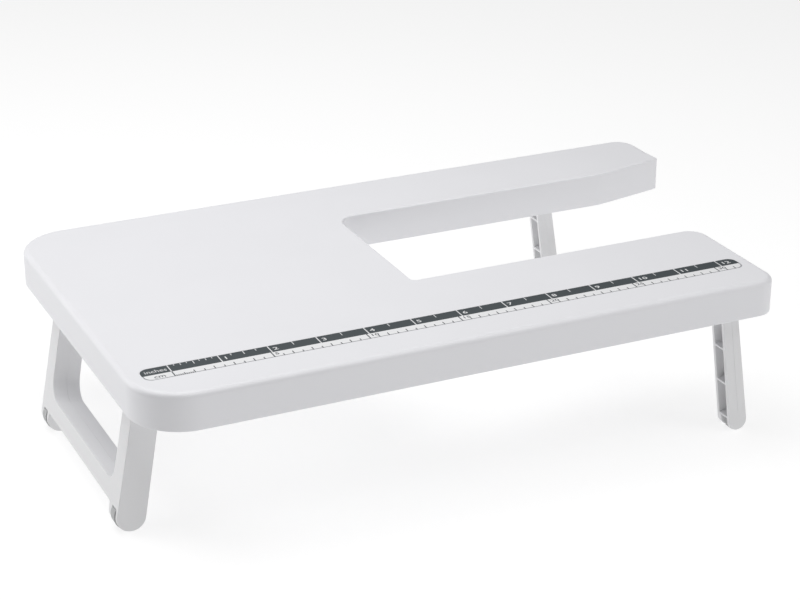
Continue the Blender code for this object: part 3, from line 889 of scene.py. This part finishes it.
def make_bracket(corner):
    """Two cheeks round the leg's eye, a stop wall behind it and screw flanges."""
    left_side = corner.startswith("left")
    leg = LEFT if left_side else RIGHT
    cheek = 2.0 if left_side else 1.6
    place = hinge_place(corner)
    outer, eye, width = leg["outer"], leg["eye"], leg["width"]
    near, far = -CHEEK_GAP - cheek, width + CHEEK_GAP
    reach = eye + 2.3
    left, right = sorted((outer * reach, -outer * (eye - 0.5)))
    cheeks = []
    for start in (near, far):
        wall = block("cheek", (left, start, -6.8), (right, start + cheek, BRACKET_DROP), place)
        low = at(0, 0, HINGE_Z).z
        level = along(1)
        round_edges(wall, lambda edge: level(edge) and edge.verts[0].co.z < low, 3.2, 6)
        cheeks.append(wall)
    stop_left, stop_right = sorted((outer * (eye + 0.3), outer * reach))
    # The right stop wall ends higher, where it leaves no slivers on the round of its cheeks.
    stop_foot = -6.0 if left_side else -4.4
    stop_low, stop_high = (stop_left, near + 0.5, stop_foot), (stop_right, far + cheek - 0.5, 3)
    stop = block("stop", stop_low, stop_high, UPRIGHT)
    stop.matrix_world = Matrix.Translation(place) @ Matrix.Rotation(-outer * leg["splay"], 4, "Y")
    settle(stop)
    if left_side:
        flanges = [(-5, -11.5, 5, -1.5), (-5, width + 1.5, 5, width + 11.5)]
    elif corner == "right_front":
        flanges = [(-9.5, width + 1.2, 9.5, width + 10.6)]
    else:
        flanges = [(-9.5, -10.6, 9.5, -1.2)]
    others = [stop, cheeks[1]]
    for low_x, low_y, high_x, high_y in flanges:
        flange = block("flange", (low_x, low_y, -0.4), (high_x, high_y, 1.6), place)
        upright = along(2)
        round_edges(flange, upright, 1.2, 5)
        others.append(flange)
    bracket = cheeks[0]
    merge(bracket, others, "UNION")
    clean(bracket)
    soften(bracket, 0.3, 2)
    clean(bracket)
    holes = [rod("pin_hole", PIN_HOLE, near - 1, far + cheek + 1, (0, 0), "Y", place, 40)]
    for x, y in screw_places():
        holes.append(rod("screw_hole", 1.7, HINGE_Z - 2, HINGE_Z + 4, (x, y), sides=24))
    merge(bracket, holes, "DIFFERENCE")
    finish_shape(bracket)
    bracket.name = bracket.data.name = f"bracket_{corner}"
    part(bracket, BRACKET_WHITE, "root", f"hinge_bracket_{corner}")


def make_pin(corner):
    """A steel pin with rounded ends."""
    low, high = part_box(f"hinge_pin_{corner}")
    middle = (low + high) / 2
    pin = rod(
        f"pin_{corner}", 2.0, low.y / MM, high.y / MM, (middle.x / MM, middle.z / MM), "Y",
        UPRIGHT, 40,
    )
    soften(pin, 0.35, 3, 60)
    finish_shape(pin)
    part(pin, PIN_STEEL, "root", f"hinge_pin_{corner}")


def make_screws():
    """One pan-head screw with rings for its thread and a cross recess, copied to every hole."""
    first_low, first_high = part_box("hinge_screw_1")
    middle = (first_low + first_high) / 2
    x, y = middle.x / MM, middle.y / MM
    bottom, tip = first_low.z / MM, first_high.z / MM
    head = rod("screw", 2.8, bottom, bottom + 2.0, (x, y), origin=UPRIGHT, sides=40)
    lower_rim = (bottom + 0.1) * MM
    round_edges(head, lambda edge: max(v.co.z for v in edge.verts) < lower_rim, 0.9, 5)
    shank = rod("shank", 1.1, bottom + 1.9, tip, (x, y), origin=UPRIGHT, sides=24)
    point = (tip - 0.1) * MM
    round_edges(shank, lambda edge: min(v.co.z for v in edge.verts) > point, 0.4, 2)
    threads = [shank]
    for turn in range(6):
        level = bottom + 2.7 + 0.95 * turn
        ring = rod("thread", 1.4, level, level + 0.5, (x, y), origin=UPRIGHT, sides=24)
        is_upright = along(2)
        round_edges(ring, lambda edge: not is_upright(edge), 0.2, 1)
        threads.append(ring)
    merge(head, threads, "UNION")
    bars = []
    for width, depth in ((1.7, 0.35), (0.35, 1.7)):
        bars.append(block(
            "recess", (x - width, y - depth, bottom - 1), (x + width, y + depth, bottom + 1.0),
            UPRIGHT,
        ))
    merge(head, bars, "DIFFERENCE")
    clean(head)
    finish_shape(head)
    for number in range(2, 9):
        low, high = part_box(f"hinge_screw_{number}")
        copy = head.copy()
        copy.data = head.data.copy()
        bpy.context.scene.collection.objects.link(copy)
        copy.location = (low + high) / 2 - middle
        copy.name = copy.data.name = f"screw_{number}"
        settle(copy)
        part(copy, SCREW_ZINC, "root", f"hinge_screw_{number}")
    head.name = head.data.name = "screw_1"
    part(head, SCREW_ZINC, "root", "hinge_screw_1")


make_tabletop()
make_film()
make_inch_marks()
make_centimetre_marks()
make_left_frame()
make_right_leg("right_front")
make_right_leg("right_rear")
for corner in CORNERS:
    make_pad(corner)
    make_bracket(corner)
    make_pin(corner)
make_screws()
for node in nodes.values():
    wear_it(node, LEG_WHITE)


# ---------------------------------------------------------------- floor, light and camera


def make_floor():
    """A white floor that glows enough to render white."""
    bpy.ops.object.select_all(action="DESELECT")
    bpy.ops.mesh.primitive_plane_add(size=1, location=(0, 1.0, -0.0001))
    floor = named("floor")
    floor.scale = (14, 14, 1)
    settle(floor)
    made = Finish("floor_white")
    grain = made.grain(900.0, 2.0, 0.5)
    colour = made.blend(grain, (0.29, 0.29, 0.29), (0.31, 0.31, 0.31))
    made.give(
        Base_Color=colour, Roughness=0.95, Specular_IOR_Level=0.0, Emission_Color=(1.0, 1.0, 1.0),
        Emission_Strength=0.76,
    )
    wear_it(floor, made.material)


def soft_light(name, place, target, size, power):
    """A white rectangular lamp that faces a target."""
    lamp = bpy.data.lights.new(name, "AREA")
    lamp.shape = "RECTANGLE"
    lamp.size, lamp.size_y = size
    lamp.energy = power
    obj = bpy.data.objects.new(name, lamp)
    bpy.context.scene.collection.objects.link(obj)
    obj.location = place
    obj.rotation_euler = (Vector(target) - Vector(place)).to_track_quat("-Z", "Y").to_euler()


make_floor()
world = bpy.data.worlds.new("studio")
world.use_nodes = True
world.node_tree.nodes["Background"].inputs["Color"].default_value = (1.0, 1.0, 1.0, 1.0)
world.node_tree.nodes["Background"].inputs["Strength"].default_value = 0.06
bpy.context.scene.world = world
soft_light("overhead", (-0.22, 0.14, 0.86), (-0.12, 0.03, 0.087), (0.8, 0.6), 5.4)
soft_light("front_above", (0.25, -0.55, 1.15), (-0.05, -0.05, 0.08), (1.1, 0.5), 5.0)
soft_light("left_rear", (-1.2, 0.9, 0.5), (-0.1, 0, 0.06), (0.9, 0.7), 8.0)
soft_light("right_front", (1.5, -1.4, 0.6), (0.05, 0, 0.06), (0.9, 0.7), 6.6)

camera = bpy.data.objects.new("camera", bpy.data.cameras.new("camera"))
camera.data.lens = 93.063
camera.data.sensor_width = 36.0
camera.location = (-0.440612, -0.925090, 0.503519)
camera.rotation_euler = (math.radians(66.541), 0, math.radians(-24.989))
bpy.context.scene.collection.objects.link(camera)
bpy.context.scene.camera = camera
bpy.context.scene.view_settings.view_transform = "Standard"
